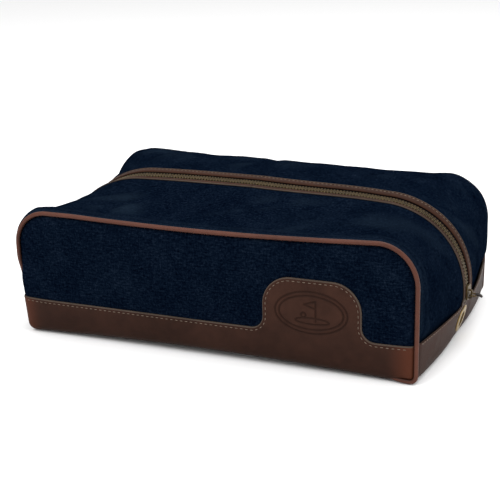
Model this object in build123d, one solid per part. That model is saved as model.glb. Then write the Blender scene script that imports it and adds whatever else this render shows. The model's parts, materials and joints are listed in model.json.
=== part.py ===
from build123d import *
import math
import os

# Golf shoe bag, millimetres.  +X runs along the bag towards the closed end of its zip, -Y is the
# front, +Z is up.  The origin is the middle of the flat base, on the surface the bag stands on.
# The bag is two flat panels joined by one long gusset.  The gusset is cut along its middle by a zip
# that climbs one end, crosses the top and goes down the other end.

# ---------------------------------------------------------------- driving dimensions
LENGTH = 365.0            # front panel, measured between the centres of its side pipings
DEPTH = 235.0             # between the centres of the front and back pipings
SEAM_HEIGHT = 111.0       # centre of the piping along the top of a panel
CROWN_HEIGHT = 122.5      # outside of the gusset at the zip
CREST_HEIGHT = 125.5      # highest line of the gusset, behind the zip
CREST_Y = 58.0            # how far behind the zip that line is
END_BULGE = 10.5          # how far each end stands out at the zip, beyond the pipings
CREST_BULGE = 7.5         # the same, at the crest line
FOOT_BULGE = 2.0          # how far the foot of an end stands out at the zip
BAND_HEIGHT = 33.0        # leather round the bottom of the bag

PANEL_TOP_RADIUS = 31.0   # corners of the front and back panels
PANEL_FOOT_RADIUS = 10.0
CROWN_RADIUS = 81.0       # the zip's bend over each end
CREST_RADIUS = 66.0
END_FOOT_RADIUS = 5.0

DENIM = 1.4               # thicknesses
LEATHER = 1.8
STRIP = 1.2
LINING = 0.4
TAPE = 0.8
BOARD = 2.0
GAP = 0.25                # air between neighbours that are sewn together

PIPING_RADIUS = 2.7
CORD_RADIUS = 1.5
TAB_WIDTH = 85.0          # raised tab of the front trim
TAB_HEIGHT = 80.0
TAB_CENTRE = 96.0
TAB_RADIUS = 25.0
TAB_FOOT_RADIUS = 11.0

FLAP_HALF = 105.0         # half length of the part of the gusset top that folds back
HEM_EDGE = 8.5            # from the zip's centre to the folded edge of the denim
TAPE_REACH = 20.0         # from the zip's centre to the hidden edge of a tape
STRIP_NEAR = 7.0          # leather strips lie on the denim, each side of the zip
STRIP_AWAY = 17.5
CHAIN_HALF = 5.0          # half the width of the closed chain
CHAIN_GAP = 1.0           # half the gap between the two rows of teeth
CHAIN_TOP = 0.3           # teeth stand this far above the denim, and this far below it
CHAIN_FLOOR = -3.4

SLIDER_LENGTH = 13.0
SLIDER_WIDTH = 13.0
SLIDER_START = 35.2       # height of the slider's lower edge when the zip is closed
PLATE = 1.4               # thickness of a slider plate
PLATE_GAP = 1.3           # running clearance between a slider plate and the chain
POST_THICKNESS = 1.1
STOP_LENGTH = 1.6

EYELET_HEIGHT = 17.0
EYELET_RADIUS = 12.5
EYELET_HOLE = 7.0
EYELET_BARREL = 7.8
EYELET_FLANGE = 1.1
WASHER_RADIUS = 9.0

half_length = LENGTH / 2
half_depth = DEPTH / 2
panel_edge = half_depth - PIPING_RADIUS - GAP    # where the gusset starts, inside the piping
far = 400.0                                      # larger than the bag

# ---------------------------------------------------------------- outlines and shells


def rounded_outline(corners):
    """Closed outline in X and Z from (x, z, radius) corners; radius 0 leaves a plain vertex."""
    ends = []
    for index, (x, z, radius) in enumerate(corners):
        here = Vector(x, z)
        if radius == 0:
            ends.append((here, None, here))
            continue
        before = Vector(*corners[index - 1][:2]) - here
        after = Vector(*corners[(index + 1) % len(corners)][:2]) - here
        half_angle = math.radians(before.get_angle(after)) / 2
        before, after = before.normalized(), after.normalized()
        run = radius / math.tan(half_angle)
        middle = (before + after).normalized() * (radius / math.sin(half_angle) - radius)
        ends.append((here + before * run, here + middle, here + after * run))
    edges = []
    for index, (start, middle, end) in enumerate(ends):
        if middle is not None:
            edges.append(ThreePointArc(start, middle, end))
        edges.append(Line(end, ends[(index + 1) % len(ends)][0]))
    return Wire(edges)


def section(y, bulge, foot_bulge, top, top_radius, foot_radius, inset):
    """One cross-section of the bag at depth y, moved inwards by inset."""
    side = half_length + bulge - inset
    foot = half_length + foot_bulge - inset
    r_top = top_radius - inset
    r_foot = foot_radius - inset
    floor = inset
    corners = [
        (-foot, floor, r_foot),
        (foot, floor, r_foot),
        (side, BAND_HEIGHT, 0),
        (side, top - inset, r_top),
        (-side, top - inset, r_top),
        (-side, BAND_HEIGHT, 0),
    ]
    return Plane.XZ.offset(-y) * make_face(rounded_outline(corners))


def body_of_bag(inset):
    """The whole bag as one solid, moved inwards by inset."""
    panel = (0, 0, SEAM_HEIGHT, PANEL_TOP_RADIUS, PANEL_FOOT_RADIUS)
    crown = (END_BULGE, FOOT_BULGE, CROWN_HEIGHT, CROWN_RADIUS, END_FOOT_RADIUS)
    crest = (CREST_BULGE, FOOT_BULGE, CREST_HEIGHT, CREST_RADIUS, END_FOOT_RADIUS)
    faces = [section(-half_depth, *panel, inset), section(0, *crown, inset)]
    faces += [section(CREST_Y, *crest, inset), section(half_depth, *panel, inset)]
    return loft(faces)


def block(low, high):
    """A box between two corners."""
    size = [b - a for a, b in zip(low, high)]
    centre = [(a + b) / 2 for a, b in zip(low, high)]
    return Pos(*centre) * Box(*size)


solids = {}                                      # one full bag for each inset that is used


def shell(outer, inner):
    """The skin of the bag between two insets."""
    for inset in (outer, inner):
        if inset not in solids:
            solids[inset] = body_of_bag(inset)
    return solids[outer] - solids[inner]


# The parts of the gusset: (name, lowest x, highest x).  The top folds back; the ends stay.
spans = {
    "top": (-FLAP_HALF, FLAP_HALF),
    "left": (-far, -FLAP_HALF - GAP * 2),
    "right": (FLAP_HALF + GAP * 2, far),
}
# The two halves of the gusset, each side of the zip.
sides = {"front": -1, "back": 1}


def strip(skin, span, side, near, away, low=BAND_HEIGHT + GAP):
    """The part of a skin over one span, from near to away from the zip's centre line."""
    x_low, x_high = spans[span]
    y_pair = sorted((sides[side] * near, sides[side] * away))
    return skin & block((x_low, y_pair[0], low), (x_high, y_pair[1], far))


# ---------------------------------------------------------------- panels and trims


def panel_outline(inset):
    """Outline of a front or back panel, inside its piping by inset."""
    side = half_length - inset
    foot = PIPING_RADIUS + inset
    top = SEAM_HEIGHT - inset
    corners = [
        (-side, foot, PANEL_FOOT_RADIUS - inset),
        (side, foot, PANEL_FOOT_RADIUS - inset),
        (side, top, PANEL_TOP_RADIUS - inset),
        (-side, top, PANEL_TOP_RADIUS - inset),
    ]
    return rounded_outline(corners)


def upright_plate(wire, y_low, thickness):
    """A flat plate standing in X and Z, from y_low towards the back."""
    return Plane.XZ.offset(-y_low) * extrude(make_face(wire), -thickness)


def tab_outline():
    """The band of the front trim with its raised, round-shouldered tab."""
    left = TAB_CENTRE - TAB_WIDTH / 2
    right = TAB_CENTRE + TAB_WIDTH / 2
    corners = [
        (-far, -far, 0),
        (far, -far, 0),
        (far, BAND_HEIGHT, 0),
        (right, BAND_HEIGHT, TAB_FOOT_RADIUS),
        (right, TAB_HEIGHT, TAB_RADIUS),
        (left, TAB_HEIGHT, TAB_RADIUS),
        (left, BAND_HEIGHT, TAB_FOOT_RADIUS),
        (-far, BAND_HEIGHT, 0),
    ]
    return rounded_outline(corners)


parts = {}
panel_inset = PIPING_RADIUS + GAP
skin_edge = half_depth + DENIM / 2               # outer face of a denim panel

parts["front_panel"] = upright_plate(panel_outline(panel_inset), -skin_edge, DENIM)
parts["back_panel"] = upright_plate(panel_outline(panel_inset), skin_edge - DENIM, DENIM)

trim_face = skin_edge + GAP / 2 + LEATHER
trim_plate = upright_plate(panel_outline(panel_inset), -trim_face, LEATHER)
tab_plate = upright_plate(tab_outline(), -trim_face, LEATHER)
parts["front_trim"] = trim_plate & tab_plate
back_plate = upright_plate(panel_outline(panel_inset), trim_face - LEATHER, LEATHER)
parts["back_trim"] = back_plate & block((-far, -far, 0), (far, far, BAND_HEIGHT))

lining_face = half_depth - DENIM / 2 - GAP
lining_inset = panel_inset + LEATHER
parts["lining_front"] = upright_plate(panel_outline(lining_inset), -lining_face, LINING)
parts["lining_back"] = upright_plate(panel_outline(lining_inset), lining_face - LINING, LINING)

# Each piping is a leather tube with a cord in it, all round its panel.
for side, sign in sides.items():
    path = Plane.XZ.offset(-sign * half_depth) * panel_outline(0)
    start = Plane(path @ 0, z_dir=path % 0)
    tube = sweep(start * Circle(PIPING_RADIUS), path=path)
    bore = sweep(start * Circle(CORD_RADIUS + GAP / 2), path=path)
    parts[f"{side}_piping"] = tube - bore
    parts[f"{side}_piping_cord"] = sweep(start * Circle(CORD_RADIUS), path=path)

# ---------------------------------------------------------------- base

base_half = half_length - PANEL_FOOT_RADIUS      # flat part of the base
parts["base_panel"] = block((-base_half, -panel_edge, 0), (base_half, panel_edge, LEATHER))
board_floor = LEATHER + GAP
board_edge = panel_edge - LEATHER
board_low = (-base_half + GAP, -board_edge, board_floor)
board_high = (base_half - GAP, board_edge, board_floor + BOARD)
parts["base_board"] = block(board_low, board_high)
lining_floor = board_floor + BOARD + GAP
lining_low = (-base_half + GAP, -board_edge, lining_floor)
lining_high = (base_half - GAP, board_edge, lining_floor + LINING)
parts["lining_base"] = block(lining_low, lining_high)

# ---------------------------------------------------------------- gusset, its linings and the zip

denim_skin = shell(0, DENIM)
lining_skin = shell(LEATHER + GAP, LEATHER + GAP + LINING)
tape_skin = shell(DENIM + GAP, DENIM + GAP + TAPE)
chain_skin = shell(-CHAIN_TOP, -CHAIN_FLOOR)
strip_skin = shell(-STRIP - GAP / 2, -GAP / 2)
leather_skin = shell(0, LEATHER)

for side in sides:
    for span in spans:
        name = f"{side}_{span}"
        parts[f"gusset_{name}"] = strip(denim_skin, span, side, HEM_EDGE, panel_edge)
        parts[f"lining_{name}"] = strip(lining_skin, span, side, TAPE_REACH + GAP, panel_edge)
        parts[f"zip_tape_{name}"] = strip(tape_skin, span, side, CHAIN_HALF + GAP, TAPE_REACH)
        parts[f"zip_strip_{name}"] = strip(strip_skin, span, side, STRIP_NEAR, STRIP_AWAY)
        stop_top = BAND_HEIGHT + GAP * 2 + STOP_LENGTH
        parts[f"zip_teeth_{name}"] = strip(
            chain_skin, span, side, CHAIN_GAP, CHAIN_HALF, low=stop_top
        )

# A pair of stops ends the teeth at each end of the zip.
for end, sign in (("left", -1), ("right", 1)):
    x_pair = sorted((0, sign * far))
    stops = []
    for near, away in ((-CHAIN_HALF, -CHAIN_GAP), (CHAIN_GAP, CHAIN_HALF)):
        low = (x_pair[0], near, BAND_HEIGHT + GAP)
        high = (x_pair[1], away, BAND_HEIGHT + GAP + STOP_LENGTH)
        stops.append(chain_skin & block(low, high))
    parts[f"zip_stops_{end}"] = Compound(children=[solid for stop in stops for solid in stop.solids()])

# ---------------------------------------------------------------- leather ends and their vent eyelets

lean = math.atan2(END_BULGE - FOOT_BULGE, BAND_HEIGHT)    # the band leans out towards its top
foot_x = half_length + FOOT_BULGE + EYELET_HEIGHT * math.tan(lean)

for end, sign in (("left", -1), ("right", 1)):
    x_pair = sorted((sign * (base_half + GAP), sign * far))
    low_end = block((x_pair[0], -panel_edge, -1), (x_pair[1], panel_edge, BAND_HEIGHT))
    lining_end = block((x_pair[0], -panel_edge, lining_floor), (x_pair[1], panel_edge, BAND_HEIGHT))
    # The eyelet's own plane: on the leather, facing out and a little down.
    outward = Vector(sign * math.cos(lean), 0, -math.sin(lean))
    seat = Plane((sign * foot_x, 0, EYELET_HEIGHT), z_dir=outward)
    drill = seat * extrude(Circle(EYELET_BARREL + GAP), 8, both=True)
    wide_drill = seat * extrude(Circle(WASHER_RADIUS + 1), 8, both=True)
    parts[f"end_band_{end}"] = (leather_skin & low_end) - drill
    parts[f"lining_end_{end}"] = (lining_skin & lining_end) - wide_drill
    barrel_length = LEATHER + EYELET_FLANGE * 2 + GAP * 3
    flange = Pos(0, 0, GAP) * extrude(Circle(EYELET_RADIUS), EYELET_FLANGE)
    flange = fillet(flange.edges().group_by(Axis.Z)[-1], EYELET_FLANGE * 0.8)
    barrel = Pos(0, 0, GAP + EYELET_FLANGE / 2) * extrude(Circle(EYELET_BARREL), -barrel_length)
    bore = extrude(Circle(EYELET_HOLE), 10, both=True)
    parts[f"vent_eyelet_{end}"] = seat * ((flange + barrel) - bore)
    washer = extrude(Circle(WASHER_RADIUS) - Circle(EYELET_BARREL + GAP), -EYELET_FLANGE)
    parts[f"vent_washer_{end}"] = seat * Pos(0, 0, -LEATHER - GAP * 2) * washer

# ---------------------------------------------------------------- slider and pull

end_x = half_length + END_BULGE                  # outside of the denim at the zip
outer_low = end_x + CHAIN_TOP + PLATE_GAP
inner_high = end_x + CHAIN_FLOOR - PLATE_GAP
slider_top = SLIDER_START + SLIDER_LENGTH
half_width = SLIDER_WIDTH / 2

outer_plate = block(
    (outer_low, -half_width, SLIDER_START), (outer_low + PLATE, half_width, slider_top)
)
inner_plate = block(
    (inner_high - PLATE, -half_width, SLIDER_START), (inner_high, half_width, slider_top)
)
outer_plate = fillet(outer_plate.edges().filter_by(Axis.X), 3.5)
inner_plate = fillet(inner_plate.edges().filter_by(Axis.X), 3.5)
post_middle = (SLIDER_START + slider_top) / 2
post = block(
    (inner_high - PLATE / 2, -POST_THICKNESS / 2, post_middle - 2),
    (outer_low + PLATE / 2, POST_THICKNESS / 2, post_middle + 2),
)

# The bridge is an arch along the slider; the pull's pin lies across under it.
bridge_height = 3.2
bridge_thickness = 1.0
bridge_width = 3.0
bridge_face = outer_low + PLATE
bridge_low = SLIDER_START + 1.0
bridge_high = SLIDER_START + 9.0
bridge = block(
    (bridge_face - PLATE / 2, -bridge_width / 2, bridge_low),
    (bridge_face + bridge_height, bridge_width / 2, bridge_high),
)
bridge = fillet(bridge.edges().filter_by(Axis.Y).group_by(Axis.X)[-1], 2.0)
window = block(
    (bridge_face, -bridge_width, bridge_low + bridge_thickness),
    (bridge_face + bridge_height - bridge_thickness, bridge_width, bridge_high - bridge_thickness),
)
parts["zip_slider"] = outer_plate + inner_plate + post + (bridge - window)

# The pull is a wire loop through the bridge, and a leather tab folded round the loop's far side.
pin_radius = 0.6
pin_x = bridge_face + 1.1
pin_z = SLIDER_START + 4.4
loop_reach = 5.5
loop_half = 3.4
loop = FilletPolyline(
    (pin_x, -loop_half, pin_z),
    (pin_x, loop_half, pin_z),
    (pin_x + loop_reach, loop_half, pin_z),
    (pin_x + loop_reach, -loop_half, pin_z),
    radius=1.2,
    close=True,
)
loop_start = Plane(loop @ 0, z_dir=loop % 0)
parts["pull_loop"] = sweep(loop_start * Circle(pin_radius), path=loop)

tab_length = 5.5
tab_half = 2.2
tab_gap = 0.15
tab_thickness = 0.6
fold_radius = pin_radius + tab_gap
fold_x = pin_x + loop_reach
fold_outer = fold_radius + tab_thickness
profile = Circle(fold_outer) + Pos(tab_length / 2, 0) * Rectangle(tab_length, fold_outer * 2)
profile -= Circle(fold_radius)
profile -= Pos(tab_length / 2, 0) * Rectangle(tab_length, tab_gap * 2)
tab_plane = Plane((fold_x, 0, pin_z), x_dir=(1, 0, 0), z_dir=(0, -1, 0))
parts["pull_tab"] = tab_plane * extrude(profile, tab_half, both=True)

# ---------------------------------------------------------------- output

os.makedirs("parts", exist_ok=True)
for name, shape in parts.items():
    pieces = shape.solids()
    whole = pieces[0] if len(pieces) == 1 else Compound(children=pieces)
    export_step(whole, f"parts/{name}.step")
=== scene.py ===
import bpy
import bmesh
import json
import math
import numpy as np
from mathutils import Matrix, Vector, noise
from mathutils.geometry import delaunay_2d_cdt


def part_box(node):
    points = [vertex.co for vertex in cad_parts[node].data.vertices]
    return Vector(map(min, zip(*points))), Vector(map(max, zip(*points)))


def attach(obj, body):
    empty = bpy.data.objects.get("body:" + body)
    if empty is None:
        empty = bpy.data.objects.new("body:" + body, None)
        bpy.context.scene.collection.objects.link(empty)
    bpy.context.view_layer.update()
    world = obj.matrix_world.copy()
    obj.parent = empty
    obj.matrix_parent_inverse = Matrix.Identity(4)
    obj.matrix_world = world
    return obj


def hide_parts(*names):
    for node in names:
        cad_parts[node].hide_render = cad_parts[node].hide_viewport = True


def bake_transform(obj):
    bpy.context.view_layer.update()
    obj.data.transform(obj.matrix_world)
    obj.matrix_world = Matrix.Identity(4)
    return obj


# Golf shoe bag: dark denim, brown leather, a zip over the top.  The soft pieces are made from
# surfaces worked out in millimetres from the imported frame, and turned into metres when a mesh
# is made.  -Y is the front, +X the end where the zip closes, +Z is up.

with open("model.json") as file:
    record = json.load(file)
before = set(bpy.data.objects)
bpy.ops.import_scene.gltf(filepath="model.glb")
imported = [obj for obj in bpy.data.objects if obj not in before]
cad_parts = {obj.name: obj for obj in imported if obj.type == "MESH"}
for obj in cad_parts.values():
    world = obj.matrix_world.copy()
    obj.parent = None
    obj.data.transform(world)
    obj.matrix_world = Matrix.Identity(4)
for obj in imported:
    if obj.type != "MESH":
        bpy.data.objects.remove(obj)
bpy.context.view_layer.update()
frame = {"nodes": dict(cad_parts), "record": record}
MM = 0.001

# ---- sizes, read from the frame


def cad_box(node):
    """Lowest and highest corner of a CAD node, in millimetres."""
    low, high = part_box(node)
    return np.array(low) / MM, np.array(high) / MM


piping_low, piping_high = cad_box("front_piping")
PIPING = (piping_high[1] - piping_low[1]) / 2  # radius
HALF = piping_high[0] - PIPING  # half length, at the piping's centre
SEAM_Z = piping_high[2] - PIPING
FRONT = (piping_low[1] + piping_high[1]) / 2  # the plane of the front piping
DEPTH = -FRONT  # from the middle to either piping
BAND = cad_box("end_band_right")[1][2]  # height of the leather round the foot
crown_low, crown_high = cad_box("zip_teeth_front_right")
CHAIN_HALF = -crown_low[1]
END = crown_high[0]  # the zip's furthest reach in x
strip_low, strip_high = cad_box("zip_strip_front_top")
STRIP_AWAY, STRIP_NEAR = -strip_low[1], -strip_high[1]  # outer and inner edge of a strip
TAB_TOP = cad_box("front_trim")[1][2]

DENIM, LEATHER = 1.4, 1.8  # thicknesses
PITCH = 2.9  # from one tooth to the next on the same tape
TOOTH_DEPTH = 0.55  # how far the middle of a tooth lies under the skin

# ---- the surface of the bag


def arc(centre, radius, start, end, count):
    """Points on an arc in X and Z, angles in degrees from +X towards +Z."""
    angles = np.radians(np.linspace(start, end, count))
    return np.stack([centre[0] + radius * np.cos(angles), centre[1] + radius * np.sin(angles)], 1)


def running_length(points):
    """Distance along a line of points, from its start to each of them."""
    return np.concatenate([[0], np.cumsum(np.linalg.norm(np.diff(points, axis=0), axis=1))])


def sample(values, total, where):
    """The rows of values, given at the distances total, read off at the distances where."""
    return np.stack([np.interp(where, total, column) for column in values.T], 1)


def smoothstep(value):
    """0 below 0, 1 above 1, smooth between."""
    t = np.clip(value, 0, 1)
    return t * t * (3 - 2 * t)


def humps(values, centre, width):
    """A smooth hump, one high, about a centre."""
    return np.exp(-(((values - centre) / width) ** 2))


def wander_noise(*where):
    """Smooth noise, about -1 to 1, at a place."""
    return noise.noise(Vector(where))


TOP_STEPS = 60  # steps along the gusset: half of the top, a corner, a side, a foot
CORNER_STEPS = 44
SIDE_STEPS = 16
LEG_STEPS = 14
CURL_STEPS = 10
UNDER = 28  # how far the ends of the gusset stop short of the piping, underneath


def half_outline(middle, side, top, radius, lean_from, foot, foot_radius, floor, sign):
    """One half of a cross-section, from the middle of the top to the underside of the foot.

    The side stands straight down to the height lean_from, and then leans in to x = foot.
    """
    corner = (side - radius, top - radius)
    x = np.linspace(0, corner[0], TOP_STEPS, endpoint=False)
    line = np.stack([x, middle + (top - middle) * x / corner[0]], 1)
    bend = arc(corner, radius, 90, 0, CORNER_STEPS)[:-1]
    heights = np.concatenate([
        np.linspace(corner[1], BAND, SIDE_STEPS + 1),
        np.linspace(BAND, floor + foot_radius, LEG_STEPS, endpoint=False)[1:],
    ])
    lean = np.clip((lean_from - heights) / lean_from, 0, 1)
    wall = np.stack([side - (side - foot) * lean, heights], 1)
    heel = side - (side - foot) * (lean_from - floor - foot_radius) / lean_from
    curl = arc((heel - foot_radius, floor + foot_radius), foot_radius, 0, -90, CURL_STEPS)
    run = np.stack([np.linspace(heel - foot_radius, HALF - UNDER, 4)[1:], np.full(3, floor)], 1)
    points = np.concatenate([line, bend, wall, curl, run])
    points[:, 0] *= sign
    return points


# Cross-sections of the filled bag.  Each row: depth, height of the middle of the top, and for the
# left and the right half (side, top, corner radius, lean_from, foot, foot radius), then the floor.
SEAM_FLOOR = 2.4
STATIONS = [
    (FRONT, 111.0, (HALF, 112.3, 30, 68, 175.5, 6), (HALF, 111.4, 33, 60, 182.3, 5), SEAM_FLOOR),
    (-95.0, 111.5, (184.6, 111.2, 40, BAND, 178, 5), (185.5, 111.2, 41, BAND, 183, 5), 0.4),
    (-55.0, 116.0, (189.4, 114.8, 62, BAND, 184, 4.5), (190.0, 115.0, 58, BAND, 185, 4.5), 0.3),
    (0.0, 123.0, (END + 1, 122.0, 86, BAND, 185, 4.5), (END, 118.2, 73.5, BAND, 184.8, 4.5), 0.3),
    (58.0, 125.8, (191.0, 125.6, 62, BAND, 184, 4.5), (190.0, 124.0, 65.5, BAND, 185, 4.5), 0.3),
    (95.0, 120.8, (188.0, 122.6, 36, BAND, 181, 5), (185.0, 119.2, 45, BAND, 183, 5), 0.4),
    (DEPTH, 111.5, (HALF, 112.8, 34, 60, 180, 7), (HALF, 111.2, 30, 60, 181, 7), SEAM_FLOOR),
]
station_y = np.array([station[0] for station in STATIONS])


def outline(middle, left, right, floor):
    """A whole cross-section, from the left foot over the top to the right foot."""
    left_half = half_outline(middle, *left, floor, -1)
    return np.concatenate([left_half[:0:-1], half_outline(middle, *right, floor, 1)])


station_curves = np.array([outline(*station[1:]) for station in STATIONS])
ROWS = station_curves.shape[1]
MIDDLE = ROWS // 2
BAND_ROW = TOP_STEPS + CORNER_STEPS - 1 + SIDE_STEPS  # rows from the middle to a band's top


def station_weights(y):
    """Shares of the cross-sections at depth y, on a smooth curve through all of them."""
    count = len(station_y)
    here = min(max(int(np.searchsorted(station_y, y)) - 1, 0), count - 2)
    share = np.eye(count)

    def slope(k):
        if k == 0 or k == count - 1:
            a, b = (0, 1) if k == 0 else (count - 2, count - 1)
            return (share[b] - share[a]) / (station_y[b] - station_y[a])
        before, after = station_y[k] - station_y[k - 1], station_y[k + 1] - station_y[k]
        low, high = (share[k] - share[k - 1]) / before, (share[k + 1] - share[k]) / after
        return (low * after + high * before) / (before + after)

    width = station_y[here + 1] - station_y[here]
    t = (y - station_y[here]) / width
    weights = (2 * t**3 - 3 * t**2 + 1) * share[here] + (3 * t**2 - 2 * t**3) * share[here + 1]
    return weights + width * ((t**3 - 2 * t**2 + t) * slope(here) + (t**3 - t**2) * slope(here + 1))


LIFT = 4.8  # how far the middle of each long foot stands off the floor
LIFT_FADE = 30  # and how quickly that fades with height


def lift_at(x, fade):
    """How far a long foot stands off the floor at x."""
    return LIFT * np.clip(1 - (x / (HALF - 5)) ** 2, 0, 1) * fade


def settle(points):
    """How the filled bag settles: the front seam sags in the middle and the long feet lift."""
    x, y, z = points.T
    u = x / 150
    height = np.clip(z / SEAM_Z, 0, 1.15)
    ahead = np.clip(-y / DEPTH, 0, 1)
    beyond = np.clip(np.abs(u) - 1, 0, 1)
    sag = (-1.8 + 1.6 * u + 3.2 * u * u * np.exp(-2 * beyond)) * ahead
    near_edge = np.clip((np.abs(y) / DEPTH - 0.6) / 0.4, 0, 1) ** 2
    lift = lift_at(x, np.exp(-np.clip(z, 0, None) / LIFT_FADE)) * near_edge
    moved = points.copy()
    moved[:, 2] += sag * height**2 + lift
    return moved


def flat_row(y):
    """The cross-section at depth y, as points in space, before the zip's wander."""
    flat = np.tensordot(station_weights(y), station_curves, 1)
    return settle(np.stack([flat[:, 0], np.full(ROWS, y), flat[:, 1]], 1))


def lengths_along(row):
    """Distance of each row along the gusset, from the middle of the top."""
    total = running_length(row)
    return total - total[MIDDLE]


lengths = lengths_along(flat_row(0.0))

# The zip doesn't run quite straight: (distance along it, how far it leans to the back).
WANDER = np.array([
    (-300, 0), (-190, -1.0), (-150, -3.2), (-125, -2.2), (-106, 0), (-80, 2.0), (-50, 1.4),
    (-20, 0), (13, -1.6), (40, -0.8), (68, 1.6), (88, 2.8), (104, 2.0), (120, -0.6),
    (136, -2.6), (150, -2.8), (170, -0.8), (185, 0), (300, 0),
])
wander = np.interp(lengths, WANDER[:, 0], WANDER[:, 1])
wander = np.convolve(np.pad(wander, 6, mode="edge"), np.ones(13) / 13, mode="valid")


def skin_row(y):
    """The cross-section at depth y, as ROWS points in space."""
    row = flat_row(y)
    row[:, 1] += wander * max(0.0, 1 - abs(y) / DEPTH) ** 1.5
    return row


def skin(depths, rows=slice(None)):
    """Grid of points (row, depth, xyz) and its outward normals."""
    grid = np.stack([skin_row(y) for y in depths], 1)
    step = 0.5
    along = np.gradient(grid, axis=0)
    across = np.stack([(skin_row(y + step) - skin_row(y - step)) / (2 * step) for y in depths], 1)
    normal = -np.cross(along, across)
    normal /= np.linalg.norm(normal, axis=2, keepdims=True) + 1e-12
    if normal[MIDDLE, 0, 2] < 0:
        normal = -normal
    return grid[rows], normal[rows]


def unevenness(points):
    """Height of the soft creases and hollows of stuffed cloth at each point."""
    heights = np.empty(len(points))
    for index, (x, y, z) in enumerate(points):
        broad = wander_noise(x * 0.016, y * 0.022, z * 0.016 + 3.1)
        fine = wander_noise(x * 0.05 + 7.7, y * 0.035, z * 0.05)
        crease = abs(wander_noise(x * 0.022 - y * 0.02, y * 0.03 + 5.5, z * 0.022))
        heights[index] = 1.7 * broad + 0.6 * fine - 1.4 * max(0.0, 0.2 - crease) / 0.2
    return heights


def seam_fade(depths):
    """0 at the piping seams and at the zip, 1 between them."""
    d = np.abs(np.array(depths))
    return smoothstep((DEPTH - 2 - d) / 22) * smoothstep((d - STRIP_AWAY + 2) / 22)


# ---- meshes


def add_object(name, data):
    """A new object, linked to the scene."""
    obj = bpy.data.objects.new(name, data)
    bpy.context.scene.collection.objects.link(obj)
    return obj


def new_object(name, vertices, faces, cloth=None):
    """A smooth mesh object from millimetre points; cloth is (u, v) on the flat cloth, in mm."""
    mesh = bpy.data.meshes.new(name)
    mesh.from_pydata((np.asarray(vertices) * MM).tolist(), [], faces)
    if cloth is not None:
        layer = mesh.uv_layers.new(name="cloth")
        loops = np.empty(len(mesh.loops), int)
        mesh.loops.foreach_get("vertex_index", loops)
        layer.data.foreach_set("uv", (np.asarray(cloth)[loops] * MM).astype(np.float32).ravel())
    mesh.shade_smooth()
    return add_object(name, mesh)


def edit_mesh(obj, change):
    """Changes an object's mesh with one function of its bmesh."""
    bm = bmesh.new()
    bm.from_mesh(obj.data)
    change(bm)
    bm.to_mesh(obj.data)
    bm.free()


def face_outwards(obj):
    """Turns the faces of a closed mesh so that they all face out."""
    edit_mesh(obj, lambda bm: bmesh.ops.recalc_face_normals(bm, faces=bm.faces))


def net_faces(rows, size, around=False, closed=False):
    """Quads of a net of points, numbered row by row.

    around joins the two ends of each row, and closed joins the last row to the first.
    """
    faces = []
    for i in range(rows if closed else rows - 1):
        here, there = i * size, ((i + 1) % rows) * size
        for j in range(size if around else size - 1):
            k = (j + 1) % size
            faces.append((here + j, here + k, there + k, there + j))
    return faces


def loop_tube(name, rings, cloth=None, closed=False):
    """A solid from closed rings of points (ring, point, xyz), with its ends capped or joined."""
    count, size = rings.shape[:2]
    faces = net_faces(count, size, True, closed)
    smooth = len(faces)
    if not closed:
        for start in (0, (count - 1) * size):
            for j in range(size // 2 - 1):
                last = start + size - 1 - j
                faces.append((start + j, start + j + 1, last - 1, last))
    flat_cloth = None if cloth is None else cloth.reshape(-1, 2)
    obj = new_object(name, rings.reshape(-1, 3), faces, flat_cloth)
    face_outwards(obj)
    for index in range(smooth, len(faces)):
        obj.data.polygons[index].use_smooth = False
    return obj


def unit(vectors):
    """Vectors made one long."""
    return vectors / (np.linalg.norm(vectors, axis=-1, keepdims=True) + 1e-12)


def tube_along(name, path, radii, around):
    """A closed round tube along a path that lies near a plane of constant y, and its spokes."""
    tangent = unit(np.roll(path, -1, axis=0) - np.roll(path, 1, axis=0))
    side = unit(np.cross(tangent, np.array([0.0, 1.0, 0.0])))
    other = np.cross(side, tangent)
    turn = np.linspace(0, 2 * math.pi, around, endpoint=False)[None, :, None]
    spokes = np.cos(turn) * side[:, None] + np.sin(turn) * other[:, None]
    return loop_tube(name, path[:, None] + radii[:, None, None] * spokes, closed=True), spokes


def copies(name, shape, places, first, second, third):
    """Many copies of one shape, each turned to its own three axes."""
    vertices, faces = shape
    all_vertices, all_faces = [], []
    for place, a, b, c in zip(places, first, second, third):
        start = len(all_vertices) * len(vertices)
        all_vertices.append(place + vertices @ np.stack([a, b, c]))
        all_faces.extend([[start + v for v in face] for face in faces])
    obj = new_object(name, np.concatenate(all_vertices), all_faces)
    face_outwards(obj)
    return obj


# ---- flat outlines


def resample(line, spacing, closed):
    """The same line with evenly spaced points."""
    points = np.concatenate([line, line[:1]]) if closed else line
    total = running_length(points)
    count = max(2, int(round(total[-1] / spacing)))
    places = np.linspace(0, total[-1], count + (0 if closed else 1), endpoint=not closed)
    return sample(points, total, places)


def inwards(loop):
    """Unit normals of a closed two-dimensional loop, pointing to its inside."""
    ahead = unit(np.roll(loop, -1, axis=0) - np.roll(loop, 1, axis=0))
    normal = np.stack([-ahead[:, 1], ahead[:, 0]], 1)
    x, z = loop.T
    area = (x * np.roll(z, -1) - np.roll(x, -1) * z).sum()
    return normal if area > 0 else -normal


def distance_to(points, line, closed):
    """Distance from each point to a two-dimensional line."""
    end = np.roll(line, -1, axis=0) if closed else line[1:]
    start = line if closed else line[:-1]
    step = end - start
    share = ((points[:, None] - start) * step).sum(2) / np.maximum((step * step).sum(1), 1e-9)
    nearest = start + np.clip(share, 0, 1)[..., None] * step
    return np.linalg.norm(points[:, None] - nearest, axis=2).min(1)


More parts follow.
